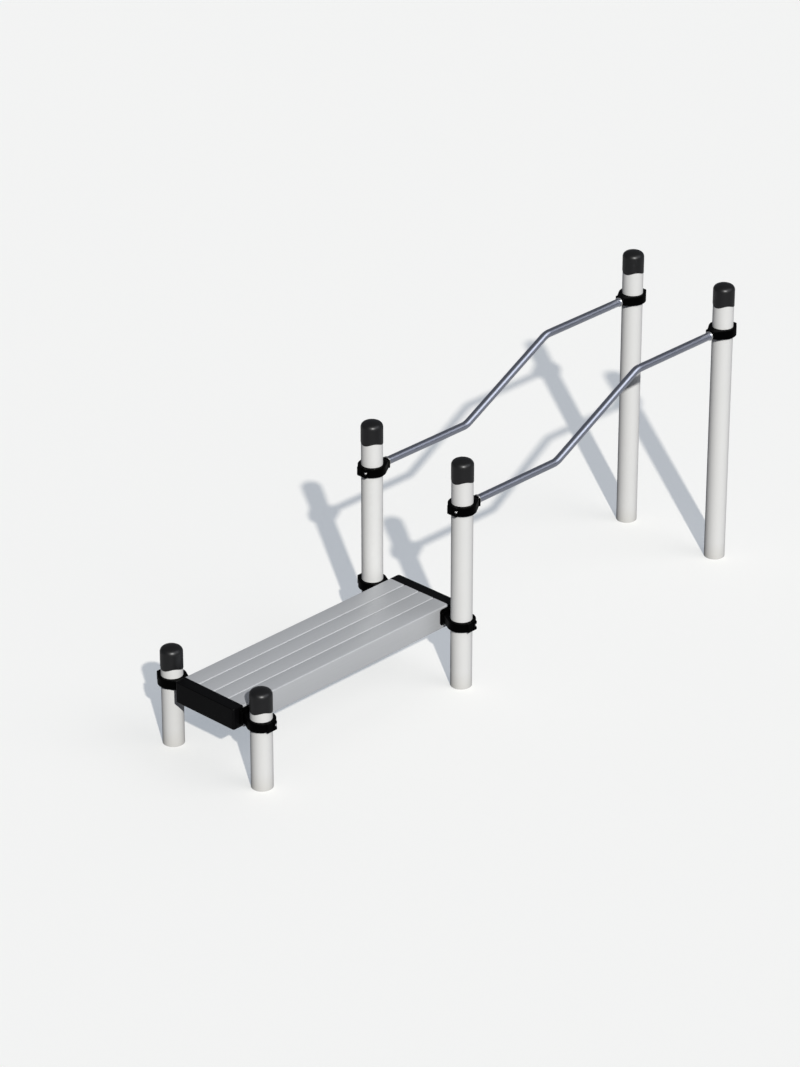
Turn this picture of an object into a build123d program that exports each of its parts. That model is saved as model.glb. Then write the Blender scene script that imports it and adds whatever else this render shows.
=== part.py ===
from build123d import *
import math
import os

os.makedirs("parts", exist_ok=True)

# Outdoor parallel bars with a bench. Two rows of three round posts stand along X: low posts at the
# bench's free end, middle posts where the bench ends and the bars begin, and tall posts where the
# bars end. Z is up, the ground is Z = 0, and the origin is the middle of the whole footprint.
# All lengths are millimetres.

# Layout of the posts
bench_bay = 1290.0
bar_bay = 1817.0

# Heights above the ground
bench_top_height = 378.0
lower_bar_height = 924.0
upper_bar_height = 1211.0
post_above_bench = 118.5
post_above_bar = 241.5

# Posts: round steel tube, open at the foot
post_diameter = 101.6
post_wall = 3.6

# Post caps: moulded shell with a rounded shoulder and a wavy lower edge
cap_height = 105.5
cap_fit = 0.15
cap_skirt_wall = 1.6
cap_crown_wall = 3.0
cap_shoulder = 24.0
cap_crown_radius = 90.0
cap_seat_depth = 30.0
cap_seat_width = 1.2
cap_wave = 6.4
cap_lobes = 3
cap_first_lobe = 60.0
cap_wave_points = 8

# Clamps: a split ring round the post, closed by one screw in a lug at the back
clamp_clearance = 0.2
clamp_wall = 16.0
clamp_height = 45.0
clamp_edge_radius = 3.5
lug_proud = 5.0
lug_width = 58.0
lug_corner_radius = 4.0
lug_root_radius = 2.0
lug_seat_thickness = 10.0
slit_width = 4.0
slit_offset = 4.0
screw_inset = 4.5
pocket_clearance = 2.5

# Bar clamps: the neck's top slopes down to a small flange that the bar is drawn against
bar_clamp_reach = 95.0
bar_neck_width = 46.0
bar_neck_rise = 15.0
bar_flange_width = 50.0
bar_flange_rise = 17.5
bar_flange_drop = 26.0
bar_flange_thickness = 6.0
bar_flange_upper_corner = 12.0
bar_flange_lower_corner = 5.0
bar_flange_edge = 1.5
collar_clearance = 0.15

# Bench clamps: the neck ends in a tall flange on the bench's side
bench_clamp_reach = 99.0
bench_clamp_drop = 50.0
bench_neck_width = 54.0
bench_flange_width = 80.0
bench_flange_height = 80.0
bench_flange_thickness = 8.0
bench_flange_corner = 12.0
bench_flange_edge = 2.0
bench_neck_blend = 6.0

# Bars: bent stainless tube, level at both ends and sloped between
bar_diameter = 38.0
bar_wall = 2.5
lower_run = 635.0
upper_run = 626.0
bar_bend_radius = 90.0
bar_end_gap = 0.1
weld_gap = 0.1
bar_plug_length = 16.0
collar_width = 9.0
collar_height = 4.0
collar_round = 3.2

# Bench: four hollow planks side by side, the two outer ones with a deep skirt
bench_width = 374.0
bench_depth = 110.0
plank_count = 4
plank_gap = 0.4
plank_height = 28.0
plank_wall = 3.0
plank_edge_radius = 4.5
plank_overhang = 15.0
skirt_thickness = 4.0
skirt_lip = 14.0

# Moulded end housings of the bench
housing_length = 60.0
housing_height = 106.0
housing_wall = 4.0
housing_corner_radius = 12.0
housing_lower_radius = 8.0
housing_rib = 3.0
housing_rib_length = 24.0
housing_rib_count = 6
boss_diameter = 14.0
boss_inset = 67.0
boss_offset = 28.0

# Steel frames under the planks
frame_thickness = 4.0
end_frame_width = 80.0
end_frame_depth = 34.0
end_plate_thickness = 6.0
end_plate_height = 68.0
cross_frame_width = 60.0
cross_frame_depth = 40.0
cross_frame_gap = 0.5
plank_screw_offset = 22.0

# Screws: diameter, length, head diameter, head height, socket across flats, socket depth
clamp_screw = dict(diameter=8.0, length=40.0, head=13.0, head_height=8.0, hexagon=6.0, hexagon_depth=4.0)
bar_bolt = dict(diameter=10.0, length=50.0, head=16.0, head_height=6.0, hexagon=7.0, hexagon_depth=3.5)
bench_bolt = dict(diameter=10.0, length=16.0, head=16.0, head_height=6.0, hexagon=7.0, hexagon_depth=3.5)
plank_screw = dict(diameter=6.0, length=13.0, head=12.0, head_height=4.0, hexagon=4.0, hexagon_depth=2.5)
housing_screw = dict(diameter=6.0, length=18.0, head=12.0, head_height=4.0, hexagon=4.0, hexagon_depth=2.5)
thread_gap = 0.05
hole_gap = 0.5
screw_tip_gap = 2.0
bolt_head_gap = 2.5
bench_bolt_spread = 52.0
bench_bolt_rise = 8.0
bench_bolt_pitch = 32.0

# One overrun serves every cut that leaves a face cleanly, and one distance picks corners by place
overrun = 5.0
pick_distance = 0.01

# Values that follow from the ones above
post_radius = post_diameter / 2
post_bore = post_radius - post_wall
clamp_bore = post_radius + clamp_clearance
clamp_radius = clamp_bore + clamp_wall
clamp_back = clamp_radius + lug_proud
bar_radius = bar_diameter / 2
bar_bore = bar_radius - bar_wall
bench_half = bench_width / 2
plank_pitch = bench_width / plank_count
plank_width = plank_pitch - plank_gap
bench_overhang = plank_overhang + housing_length
bench_clamp_height = bench_top_height - bench_clamp_drop
skirt_inside = bench_half - skirt_thickness
plank_underside = bench_top_height - plank_height

total_length = bench_overhang + bench_bay + bar_bay + clamp_back
low_x = bench_overhang - total_length / 2
mid_x = low_x + bench_bay
high_x = mid_x + bar_bay
row_y = bench_half + bench_clamp_reach

low_post_height = bench_top_height + post_above_bench
mid_post_height = lower_bar_height + post_above_bar
high_post_height = upper_bar_height + post_above_bar

posts = {
    "low_left": (low_x, row_y, low_post_height),
    "low_right": (low_x, -row_y, low_post_height),
    "mid_left": (mid_x, row_y, mid_post_height),
    "mid_right": (mid_x, -row_y, mid_post_height),
    "high_left": (high_x, row_y, high_post_height),
    "high_right": (high_x, -row_y, high_post_height),
}


def save(name, shape):
    """Write one node as a STEP file, with one solid or a group of separate solids."""
    solids = shape.solids() if not isinstance(shape, list) else [s for part in shape for s in part.solids()]
    export_step(Compound(children=solids) if len(solids) > 1 else solids[0], f"parts/{name}.step")


def upright(radius, bottom, top):
    """A solid round bar along Z from bottom to top."""
    return Pos(0, 0, bottom) * Cylinder(radius, top - bottom, align=(Align.CENTER, Align.CENTER, Align.MIN))


def rod(radius, start, end):
    """A solid round bar along X from start to end."""
    return Rot(0, 90, 0) * upright(radius, start, end)


def block(x_range, y_range, z_range):
    """A box between two corners, each given as a range along its axis."""
    middle = [(low + high) / 2 for low, high in (x_range, y_range, z_range)]
    size = [high - low for low, high in (x_range, y_range, z_range)]
    return Pos(*middle) * Box(*size)


def screw(diameter, length, head, head_height, hexagon, hexagon_depth):
    """A socket screw with its head above Z = 0 and its shank below."""
    body = upright(diameter / 2, -length, 0) + upright(head / 2, 0, head_height)
    key = RegularPolygon(hexagon / math.sqrt(3), 6)
    return body - extrude(Pos(0, 0, head_height - hexagon_depth) * key, hexagon_depth + overrun)


def post(height):
    """A post tube from the ground to its seat inside the cap."""
    top = height - cap_seat_depth
    return upright(post_radius, 0, top) - upright(post_bore, -overrun, top + overrun)


def wave_edge(radius, depth):
    """The cap's lower edge at one radius: a closed wave with its lobes spread round the post."""
    count = cap_lobes * cap_wave_points
    points = []
    for step in range(count):
        angle = 2 * math.pi * step / count
        drop = cap_wave * math.cos(cap_lobes * (angle - math.radians(cap_first_lobe)))
        points.append((radius * math.cos(angle), radius * math.sin(angle), -depth - drop))
    return Spline(*points, periodic=True)


def cap():
    """A post cap with the middle of its crown at Z = 0."""
    inside = post_radius + cap_fit
    outside = inside + cap_skirt_wall
    seat = post_bore - cap_seat_width
    skirt_z = -cap_height - cap_wave - overrun
    across = outside - cap_shoulder
    reach = cap_crown_radius - cap_shoulder
    shoulder_z = math.sqrt(reach**2 - across**2) - cap_crown_radius
    share = cap_crown_radius / reach
    touch = (across * share, (shoulder_z + cap_crown_radius) * share - cap_crown_radius)
    crown = TangentArc((0, 0), touch, tangent=(1, 0))
    shoulder = TangentArc(touch, (outside, shoulder_z), tangent=crown % 1)

    inner_radius = cap_shoulder - cap_crown_wall
    inner_share = (cap_crown_radius - cap_crown_wall) / reach
    inner_touch = (across * inner_share, (shoulder_z + cap_crown_radius) * inner_share - cap_crown_radius)
    inner_end = (seat, shoulder_z + math.sqrt(inner_radius**2 - (seat - across) ** 2))
    inner_crown = TangentArc((0, -cap_crown_wall), inner_touch, tangent=(1, 0))
    inner_shoulder = TangentArc(inner_touch, inner_end, tangent=inner_crown % 1)
    wall = Polyline(
        (outside, shoulder_z),
        (outside, skirt_z),
        (inside, skirt_z),
        (inside, -cap_seat_depth),
        (seat, -cap_seat_depth),
        inner_end,
    )
    axis = Line((0, -cap_crown_wall), (0, 0))
    shell = revolve(Plane.XZ * make_face(crown + shoulder + wall + inner_shoulder + inner_crown + axis), Axis.Z)
    inner = wave_edge(inside - overrun, cap_height)
    outer = wave_edge(outside + overrun, cap_height)
    below = extrude(Face.make_surface_from_curves(inner, outer), cap_wave * 2 + overrun * 2, dir=(0, 0, -1))
    return shell - below


def clamp_outline(end, back, neck_width):
    """The clamp from above: a disc whose flanks leave it straight for the neck, and the screw lug."""
    neck = neck_width / 2
    turn = math.atan2(neck, back) + math.acos(clamp_radius / math.hypot(back, neck))
    touch_x = clamp_radius * math.cos(turn)
    touch_y = clamp_radius * math.sin(turn)
    end_y = neck - (end - back) * (touch_y - neck) / (back - touch_x)
    ring = ThreePointArc((touch_x, touch_y), (-clamp_radius, 0), (touch_x, -touch_y))
    flanks = Polyline((touch_x, -touch_y), (end, -end_y), (end, end_y), (touch_x, touch_y))
    lug = Pos(-clamp_back / 2, 0) * RectangleRounded(clamp_back, lug_width, lug_corner_radius)
    outline = make_face(ring + flanks) + lug
    roots = [
        corner for corner in outline.vertices()
        if corner.X < 0 and abs(math.hypot(corner.X, corner.Y) - clamp_radius) < pick_distance
    ]
    return fillet(roots, lug_root_radius)


def clamp_body(reach, neck_width, neck_rise, flange, thickness, edge, blend):
    """A split ring round the post, with a neck and a flange towards +X and the screw lug at the back."""
    back = reach - thickness
    end = reach - thickness / 2
    top = clamp_height / 2
    body = extrude(clamp_outline(end, back, neck_width), top, both=True)
    levels = body.edges().group_by(Axis.Z)
    rims = levels[0].sort_by(Axis.X)[:-1] + levels[-1].sort_by(Axis.X)[:-1]
    body = fillet(rims, clamp_edge_radius)
    if neck_rise < top:
        past = end + overrun
        low = top - (top - neck_rise) * (past - clamp_radius) / (back - clamp_radius)
        corners = [(clamp_radius, top), (past, low), (past, top + overrun), (clamp_radius, top + overrun)]
        body -= extrude(Plane.XZ * make_face(Polyline(corners, close=True)), neck_width, both=True)

    plate = extrude(Plane.YZ.offset(back) * flange, thickness)
    plate = fillet(plate.edges().group_by(Axis.X)[0], edge)
    joined = body + plate
    if blend:
        joined = fillet(new_edges(body, plate, combined=joined), blend)
    body = joined

    half = clamp_height / 2 + overrun
    body -= upright(clamp_bore, -half, half)
    far = -clamp_back - overrun
    slit = (-slit_offset - slit_width / 2, -slit_offset + slit_width / 2)
    body -= block((far, -clamp_bore + overrun), slit, (-half, half))

    seat_y = slit[0] - lug_seat_thickness
    screw_x = -clamp_radius + screw_inset
    pocket = clamp_screw["head"] / 2 + pocket_clearance
    body -= block((far, screw_x + pocket), (-lug_width / 2 - overrun, seat_y), (-pocket, pocket))
    shank = clamp_screw["diameter"] / 2
    clear_hole = upright(shank + hole_gap, 0, lug_seat_thickness + slit_width / 2)
    thread_hole = upright(shank + thread_gap, 0, clamp_screw["length"] + screw_tip_gap)
    return body - Pos(screw_x, seat_y, 0) * Rot(-90, 0, 0) * (clear_hole + thread_hole)


def clamp_screw_in_place(hand):
    """The screw that closes a clamp of one hand, in the clamp's own frame."""
    seat_y = hand * (-slit_offset - slit_width / 2 - lug_seat_thickness)
    return Pos(-clamp_radius + screw_inset, seat_y, 0) * Rot(90 * hand, 0, 0) * screw(**clamp_screw)


bar_bolt_seat = clamp_bore + bolt_head_gap + bar_bolt["head_height"]
bar_end = bar_clamp_reach + bar_end_gap


def bar_flange():
    """The bar clamp's flange from the front: rounder above than below, and lower above the bar's axis."""
    face = Rectangle(bar_flange_width, bar_flange_rise + bar_flange_drop)
    face = Pos(0, (bar_flange_rise - bar_flange_drop) / 2) * face
    face = fillet(face.vertices().group_by(Axis.Y)[-1], bar_flange_upper_corner)
    return fillet(face.vertices().group_by(Axis.Y)[0], bar_flange_lower_corner)


def bar_clamp():
    """A clamp whose flange takes the bar's end, with the bar's bolt sunk in the ring's bore."""
    flange = (bar_flange(), bar_flange_thickness, bar_flange_edge)
    body = clamp_body(bar_clamp_reach, bar_neck_width, bar_neck_rise, *flange, 0)
    body -= rod(bar_bolt["diameter"] / 2 + hole_gap, 0, bar_clamp_reach + overrun)
    return body - rod(bar_bolt["head"] / 2 + hole_gap, 0, bar_bolt_seat)


def bench_bolt_places():
    """Offsets of a flange's four bolts along the bench and up from the clamp's middle."""
    return [
        (side * bench_bolt_spread / 2, bench_bolt_rise - level * bench_bolt_pitch)
        for side in (-1, 1)
        for level in (0, 1)
    ]


def bench_clamp():
    """A clamp whose tall flange lies on the bench's side, with blind threads for four bolts."""
    face = RectangleRounded(bench_flange_width, bench_flange_height, bench_flange_corner)
    flange = (face, bench_flange_thickness, bench_flange_edge)
    body = clamp_body(bench_clamp_reach, bench_neck_width, clamp_height, *flange, bench_neck_blend)
    grip = bench_bolt["length"] - end_plate_thickness - skirt_thickness
    thread = rod(bench_bolt["diameter"] / 2 + thread_gap, -grip - thread_gap, overrun)
    for along, rise in bench_bolt_places():
        body -= Pos(bench_clamp_reach, along, rise) * thread
    return body


def bar():
    """A grab bar as a bent tube: level, sloped, level."""
    start = mid_x + bar_end
    finish = high_x - bar_end
    path = FilletPolyline(
        (start, 0, lower_bar_height),
        (mid_x + lower_run, 0, lower_bar_height),
        (high_x - upper_run, 0, upper_bar_height),
        (finish, 0, upper_bar_height),
        radius=bar_bend_radius,
    )
    section = Circle(bar_radius) - Circle(bar_bore)
    return sweep(Plane(origin=(start, 0, lower_bar_height), x_dir=(0, 1, 0), z_dir=(1, 0, 0)) * section, path)


def collar():
    """A polished ring on the bar, seated on the clamp's flange."""
    start = bar_clamp_reach
    ring = rod(bar_radius + collar_height, start, start + collar_width)
    ring = fillet(ring.edges().filter_by(GeomType.CIRCLE), collar_round)
    return ring - rod(bar_radius + collar_clearance, start - overrun, start + collar_width + overrun)


def bar_plug():
    """A steel disc welded inside the bar's end, threaded for the bar's bolt."""
    finish = bar_end + bar_plug_length
    thread = rod(bar_bolt["diameter"] / 2 + thread_gap, bar_end - overrun, finish + overrun)
    return rod(bar_bore - weld_gap, bar_end, finish) - thread


def plank_section(outer):
    """Section of a hollow plank with its top at Y = 0; the outer kind also has a skirt on its -X side."""
    box = Rectangle(plank_width, plank_height, align=(Align.CENTER, Align.MAX))
    box = fillet(box.vertices().group_by(Axis.Y)[-1], plank_edge_radius)
    cell_width = (plank_width - 3 * plank_wall) / 2
    cell_height = plank_height - 2 * plank_wall
    if outer:
        edge = -plank_width / 2
        below = (plank_height / 2, bench_depth)
        middle = -(below[0] + below[1]) / 2
        box += Pos(edge + skirt_thickness / 2, middle) * Rectangle(skirt_thickness, below[1] - below[0])
        lip_y = -bench_depth + skirt_thickness / 2
        box += Pos(edge + skirt_lip / 2, lip_y) * Rectangle(skirt_lip, skirt_thickness)
    for side in (-1, 1):
        cell = Rectangle(cell_width, cell_height)
        box -= Pos(side * (cell_width + plank_wall) / 2, -plank_height / 2) * cell
    return box


def plank_middle(index):
    """Distance of a plank's middle from the bench's middle plane, counted from the right-hand side."""
    return -bench_half + plank_pitch * (index + 0.5)


def plank_screw_y(index):
    """The plank's screw line, between its middle wall and its side wall."""
    side = 1 if index < plank_count / 2 else -1
    return plank_middle(index) + side * plank_width / 4


plank_start = low_x - plank_overhang
plank_end = mid_x + plank_overhang
cross_x = (low_x + mid_x) / 2
plank_screw_lines = (low_x + plank_screw_offset, cross_x, mid_x - plank_screw_offset)
end_posts = ((low_x, 1), (mid_x, -1))


def plank(index):
    """One plank of the bench, the outer ones with their skirt outwards."""
    outer = index in (0, plank_count - 1)
    section = plank_section(outer)
    middle = plank_middle(index)
    if index == 0:
        middle = -bench_half + plank_width / 2
    if index == plank_count - 1:
        section = mirror(section, Plane.YZ)
        middle = bench_half - plank_width / 2
    section = Plane.YZ.offset(plank_start) * Pos(middle, bench_top_height) * section
    body = extrude(section, plank_end - plank_start)
    hole = upright(plank_screw["diameter"] / 2 + thread_gap, -overrun, plank_wall + overrun)
    for x in plank_screw_lines:
        body -= Pos(x, plank_screw_y(index), plank_underside) * hole
    if outer:
        side = -1 if index == 0 else 1
        reach = (skirt_inside - overrun, bench_half + overrun)
        hole = upright(bench_bolt["diameter"] / 2 + hole_gap, *reach)
        for post_x, inward in end_posts:
            for rise in {rise for along, rise in bench_bolt_places()}:
                place = Pos(post_x + inward * bench_bolt_spread / 2, 0, bench_clamp_height + rise)
                body -= place * Rot(-90 * side, 0, 0) * hole
    return body


def channel(width, depth, length):
    """A steel channel across the bench, open downwards, with its top at Z = 0."""
    outer = block((-width / 2, width / 2), (-length / 2, length / 2), (-depth, 0))
    outer = fillet(outer.edges().filter_by(Axis.Y).group_by(Axis.Z)[-1], frame_thickness)
    inside = width / 2 - frame_thickness
    run = length / 2 + overrun
    return outer - block((-inside, inside), (-run, run), (-depth - overrun, -frame_thickness))


def cross_frame():
    """The channel under the middle of the planks."""
    body = channel(cross_frame_width, cross_frame_depth, 2 * (skirt_inside - cross_frame_gap))
    hole = upright(plank_screw["diameter"] / 2 + hole_gap, -frame_thickness - overrun, overrun)
    for index in range(plank_count):
        body -= Pos(0, plank_screw_y(index), 0) * hole
    return Pos(cross_x, 0, plank_underside) * body


def boss_places():
    """Distances of the housing's screw bosses from the bench's middle plane."""
    return (boss_inset - bench_half, 0, bench_half - boss_inset)


def end_frame(post_x, inward):
    """The welded channel between two clamps, with an end plate behind each flange."""
    body = channel(end_frame_width, end_frame_depth, 2 * skirt_inside)
    half = end_frame_width / 2
    for side in (-1, 1):
        near, far = sorted((side * (skirt_inside - end_plate_thickness), side * skirt_inside))
        body += block((-half, half), (near, far), (-end_plate_height, -frame_thickness))
    bolt = bench_bolt["diameter"] / 2 + hole_gap
    through = Rot(90, 0, 0) * upright(bolt, -skirt_inside - overrun, skirt_inside + overrun)
    level = bench_clamp_height - plank_underside
    for along, rise in bench_bolt_places():
        body -= Pos(along, 0, level + rise) * through
    hole = upright(plank_screw["diameter"] / 2 + hole_gap, -frame_thickness - overrun, overrun)
    for index in range(plank_count):
        body -= Pos(plank_screw_offset, plank_screw_y(index), 0) * hole
    hole = upright(housing_screw["diameter"] / 2 + hole_gap, -frame_thickness - overrun, overrun)
    for y in boss_places():
        body -= Pos(-boss_offset, y, 0) * hole
    return Pos(post_x, 0, plank_underside) * Rot(0, 0, 0 if inward > 0 else 180) * body


def housing(post_x, inward):
    """A moulded end housing: an open shell over the planks' ends, with ribs and three screw bosses."""
    length, half, height = housing_length, bench_half, housing_height
    body = block((-length, 0), (-half, half), (-height, 0))
    body = fillet(body.edges().filter_by(Axis.Z).group_by(Axis.X)[0], housing_corner_radius)
    body = fillet(body.faces().sort_by(Axis.Z)[-1].edges().sort_by(Axis.X)[:-1], plank_edge_radius)
    body = fillet(body.faces().sort_by(Axis.Z)[0].edges().sort_by(Axis.X)[:-1], housing_lower_radius)
    wall = housing_wall
    cavity = block((wall - length, overrun), (wall - half, half - wall), (wall - height, -wall))
    cavity = fillet(cavity.edges().filter_by(Axis.Z).group_by(Axis.X)[0], housing_corner_radius - wall)
    body -= cavity
    rib_end = wall - length + housing_rib_length
    rib_spacing = 2 * (half - wall) / (housing_rib_count + 1)
    for step in range(housing_rib_count):
        y = wall - half + rib_spacing * (step + 1)
        thick = (y - housing_rib / 2, y + housing_rib / 2)
        body += block((wall / 2 - length, rib_end), thick, (wall / 2 - height, -wall / 2))
    boss = upright(boss_diameter / 2, -plank_height, -wall / 2)
    thread = housing_screw["diameter"] / 2 + thread_gap
    pilot = upright(thread, -plank_height - overrun, -wall - screw_tip_gap)
    for y in boss_places():
        body += Pos(plank_overhang - boss_offset, y, 0) * boss
        body -= Pos(plank_overhang - boss_offset, y, 0) * pilot
    bolt = bench_bolt["diameter"] / 2 + hole_gap
    through = Rot(90, 0, 0) * upright(bolt, -half - overrun, half + overrun)
    level = bench_clamp_height - bench_top_height
    for rise in {rise for along, rise in bench_bolt_places()}:
        body -= Pos(plank_overhang - bench_bolt_spread / 2, 0, level + rise) * through
    end_x = post_x - inward * plank_overhang
    return Pos(end_x, 0, bench_top_height) * Rot(0, 0, 0 if inward > 0 else 180) * body


# Posts and caps
cap_body = cap()
for name, (x, y, height) in posts.items():
    save(f"post_{name}", Pos(x, y, 0) * post(height))
    save(f"cap_{name}", Pos(x, y, height) * cap_body)

# Bar clamps face each other along X, bench clamps face the bench, and the castings come in two hands
bar_clamp_places = {
    "mid_left": (Pos(mid_x, row_y, lower_bar_height), 1),
    "mid_right": (Pos(mid_x, -row_y, lower_bar_height), 1),
    "high_left": (Pos(high_x, row_y, upper_bar_height) * Rot(0, 180, 0), -1),
    "high_right": (Pos(high_x, -row_y, upper_bar_height) * Rot(0, 180, 0), -1),
}
bench_clamp_places = {
    "low_left": (Pos(low_x, row_y, bench_clamp_height) * Rot(0, 0, -90), -1),
    "low_right": (Pos(low_x, -row_y, bench_clamp_height) * Rot(0, 0, 90), 1),
    "mid_left": (Pos(mid_x, row_y, bench_clamp_height) * Rot(0, 0, -90), -1),
    "mid_right": (Pos(mid_x, -row_y, bench_clamp_height) * Rot(0, 0, 90), 1),
}
for kind, body, places in (
    ("bar_clamp", bar_clamp(), bar_clamp_places),
    ("bench_clamp", bench_clamp(), bench_clamp_places),
):
    for name, (place, hand) in places.items():
        save(f"{kind}_{name}", place * (body if hand > 0 else mirror(body, Plane.XZ)))
all_clamps = list(bar_clamp_places.values()) + list(bench_clamp_places.values())
save("clamp_screws", [place * clamp_screw_in_place(hand) for place, hand in all_clamps])

# Bars with what holds them in the clamps
for name, side in (("left", 1), ("right", -1)):
    save(f"bar_{name}", Pos(0, side * row_y, 0) * bar())
bar_places = [place for place, hand in bar_clamp_places.values()]
bolt_place = Pos(bar_bolt_seat, 0, 0) * Rot(0, -90, 0)
save("bar_collars", [place * collar() for place in bar_places])
save("bar_plugs", [place * bar_plug() for place in bar_places])
save("bar_bolts", [place * bolt_place * screw(**bar_bolt) for place in bar_places])

# Bench
plank_names = ("plank_outer_right", "plank_inner_right", "plank_inner_left", "plank_outer_left")
for index, name in enumerate(plank_names):
    save(name, plank(index))
save("cross_frame", cross_frame())
for name, (post_x, inward) in zip(("low", "mid"), end_posts):
    save(f"end_frame_{name}", end_frame(post_x, inward))
    save(f"end_housing_{name}", housing(post_x, inward))

head_y = skirt_inside - end_plate_thickness
bench_bolts = []
for post_x, inward in end_posts:
    for side in (-1, 1):
        for along, rise in bench_bolt_places():
            place = Pos(post_x + along, side * head_y, bench_clamp_height + rise)
            bench_bolts.append(place * Rot(90 * side, 0, 0) * screw(**bench_bolt))
save("bench_bolts", bench_bolts)

below_web = plank_underside - frame_thickness
upwards = Rot(180, 0, 0)
save("plank_screws", [
    Pos(x, plank_screw_y(index), below_web) * upwards * screw(**plank_screw)
    for x in plank_screw_lines
    for index in range(plank_count)
])
save("housing_screws", [
    Pos(post_x - inward * boss_offset, y, below_web) * upwards * screw(**housing_screw)
    for post_x, inward in end_posts
    for y in boss_places()
])
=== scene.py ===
import math

import bmesh
import bpy
from mathutils import Matrix, Vector


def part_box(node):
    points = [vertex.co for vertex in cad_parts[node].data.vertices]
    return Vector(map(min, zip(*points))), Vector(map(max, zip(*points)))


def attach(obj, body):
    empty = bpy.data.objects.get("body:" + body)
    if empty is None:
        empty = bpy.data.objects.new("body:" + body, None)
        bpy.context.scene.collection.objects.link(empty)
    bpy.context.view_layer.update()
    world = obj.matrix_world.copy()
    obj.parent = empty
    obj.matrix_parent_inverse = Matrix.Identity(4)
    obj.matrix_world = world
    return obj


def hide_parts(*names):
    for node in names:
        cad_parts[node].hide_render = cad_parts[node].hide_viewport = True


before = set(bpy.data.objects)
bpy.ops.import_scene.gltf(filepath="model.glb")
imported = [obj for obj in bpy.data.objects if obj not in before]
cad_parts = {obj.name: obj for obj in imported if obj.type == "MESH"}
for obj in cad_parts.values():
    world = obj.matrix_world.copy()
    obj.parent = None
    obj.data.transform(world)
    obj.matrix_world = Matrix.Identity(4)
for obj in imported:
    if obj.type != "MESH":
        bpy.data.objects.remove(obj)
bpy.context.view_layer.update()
scene = bpy.context.scene
scene.view_settings.view_transform = "Standard"

# Floor, light and camera
# A plain pale floor under one small hard lamp above and right of the camera, a soft box far right, a fill
# from behind for matt surfaces and a dim surround. The camera stands far off and sees the floor's glow and
# the pale backdrop in full, and metal sees a quarter of the floor's and 8 per cent of the backdrop's.
MM = 0.001
FLOOR_HALF = 40.0
FLOOR_COLOUR = "#D5D0C7"
FLOOR_GLOW_COLOUR = "#E8F3FF"
FLOOR_GLOW = 0.375
FLOOR_BOUNCE = "#626367"
FLOOR_IN_GLOSS = 0.25
HORIZON_COLOUR = "#484C55"
BACKDROP_COLOUR = "#F2F2F2"
ZENITH_COLOUR = "#2E3138"
SURROUND_IN_GLOSS = 0.08
LAMP_COLOUR = "#FFFEFC"
LAMP_STRENGTH = 3.6
LAMP_SIZE = math.radians(1.2)
TO_LAMP = Vector((-0.4787, -0.6778, 0.5580))
SOFT_BOX_COLOUR = "#F4F7FF"
TO_SOFT_BOX = Vector((0.278, -0.689, 0.669))
SOFT_BOX_STRENGTH = 1.5
SOFT_BOX_REACH = (0.87, 0.97)
REAR_FILL_COLOUR = "#F2F5FF"
TO_REAR_FILL = Vector((0.700, 0.680, 0.220))
REAR_FILL_STRENGTH = 0.42
REAR_FILL_REACH = (0.35, 0.95)
COLOUR_RESULT = 2


def colour(code):
    """An sRGB hex colour as the linear values that a socket takes."""
    parts = [int(code[i:i + 2], 16) / 255 for i in (1, 3, 5)]
    return [c / 12.92 if c <= 0.04045 else ((c + 0.055) / 1.055) ** 2.4 for c in parts] + [1.0]


def feed(tree, node, values):
    """Sets inputs of a node, each to a plain value or to another node's output."""
    for key, value in values.items():
        if isinstance(value, bpy.types.NodeSocket):
            tree.links.new(value, node.inputs[key])
        else:
            node.inputs[key].default_value = value


def add(tree, kind, values=None, **settings):
    """Adds a node with its settings and the values of its inputs."""
    made = tree.nodes.new(kind)
    for name, value in settings.items():
        setattr(made, name, value)
    feed(tree, made, values or {})
    return made


def maths(tree, operation, first, second):
    """The result of one sum, each term a number or another node's output."""
    return add(tree, "ShaderNodeMath", {0: first, 1: second}, operation=operation).outputs[0]


def blend(tree, factor, first, second):
    """The colour between two, each a hex colour or another node's output."""
    ends = [colour(end) if isinstance(end, str) else end for end in (first, second)]
    mixed = add(tree, "ShaderNodeMix", {"Factor": factor, "A": ends[0], "B": ends[1]}, data_type="RGBA")
    return mixed.outputs[COLOUR_RESULT]


def looked_at(tree, in_gloss):
    """How far a ray sees the backdrop (a glossy one sees a share of it), and whether it is glossy."""
    path = add(tree, "ShaderNodeLightPath").outputs
    mirrored = maths(tree, "MULTIPLY", path["Is Glossy Ray"], in_gloss)
    seen = maths(tree, "MAXIMUM", path["Is Camera Ray"], mirrored)
    return maths(tree, "MAXIMUM", seen, path["Is Transmission Ray"]), path["Is Glossy Ray"]


def place(name, mesh):
    """An object for a mesh, at the origin."""
    made = bpy.data.objects.new(name, mesh)
    scene.collection.objects.link(made)
    return made


floor_paper = bpy.data.materials.new("seamless_floor_paper")
floor_paper.use_nodes = True
tree = floor_paper.node_tree
tree.nodes.clear()
seen, glossy = looked_at(tree, FLOOR_IN_GLOSS)
shown = add(tree, "ShaderNodeBsdfDiffuse", {"Color": colour(FLOOR_COLOUR)})
glow = add(tree, "ShaderNodeEmission", {"Color": colour(FLOOR_GLOW_COLOUR), "Strength": FLOOR_GLOW})
shown = add(tree, "ShaderNodeAddShader", {0: shown.outputs[0], 1: glow.outputs[0]})
bounce = add(tree, "ShaderNodeBsdfDiffuse", {"Color": colour(FLOOR_BOUNCE)})
mix = add(tree, "ShaderNodeMixShader", {0: seen, 1: bounce.outputs[0], 2: shown.outputs[0]})
add(tree, "ShaderNodeOutputMaterial", {"Surface": mix.outputs[0]})

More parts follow.
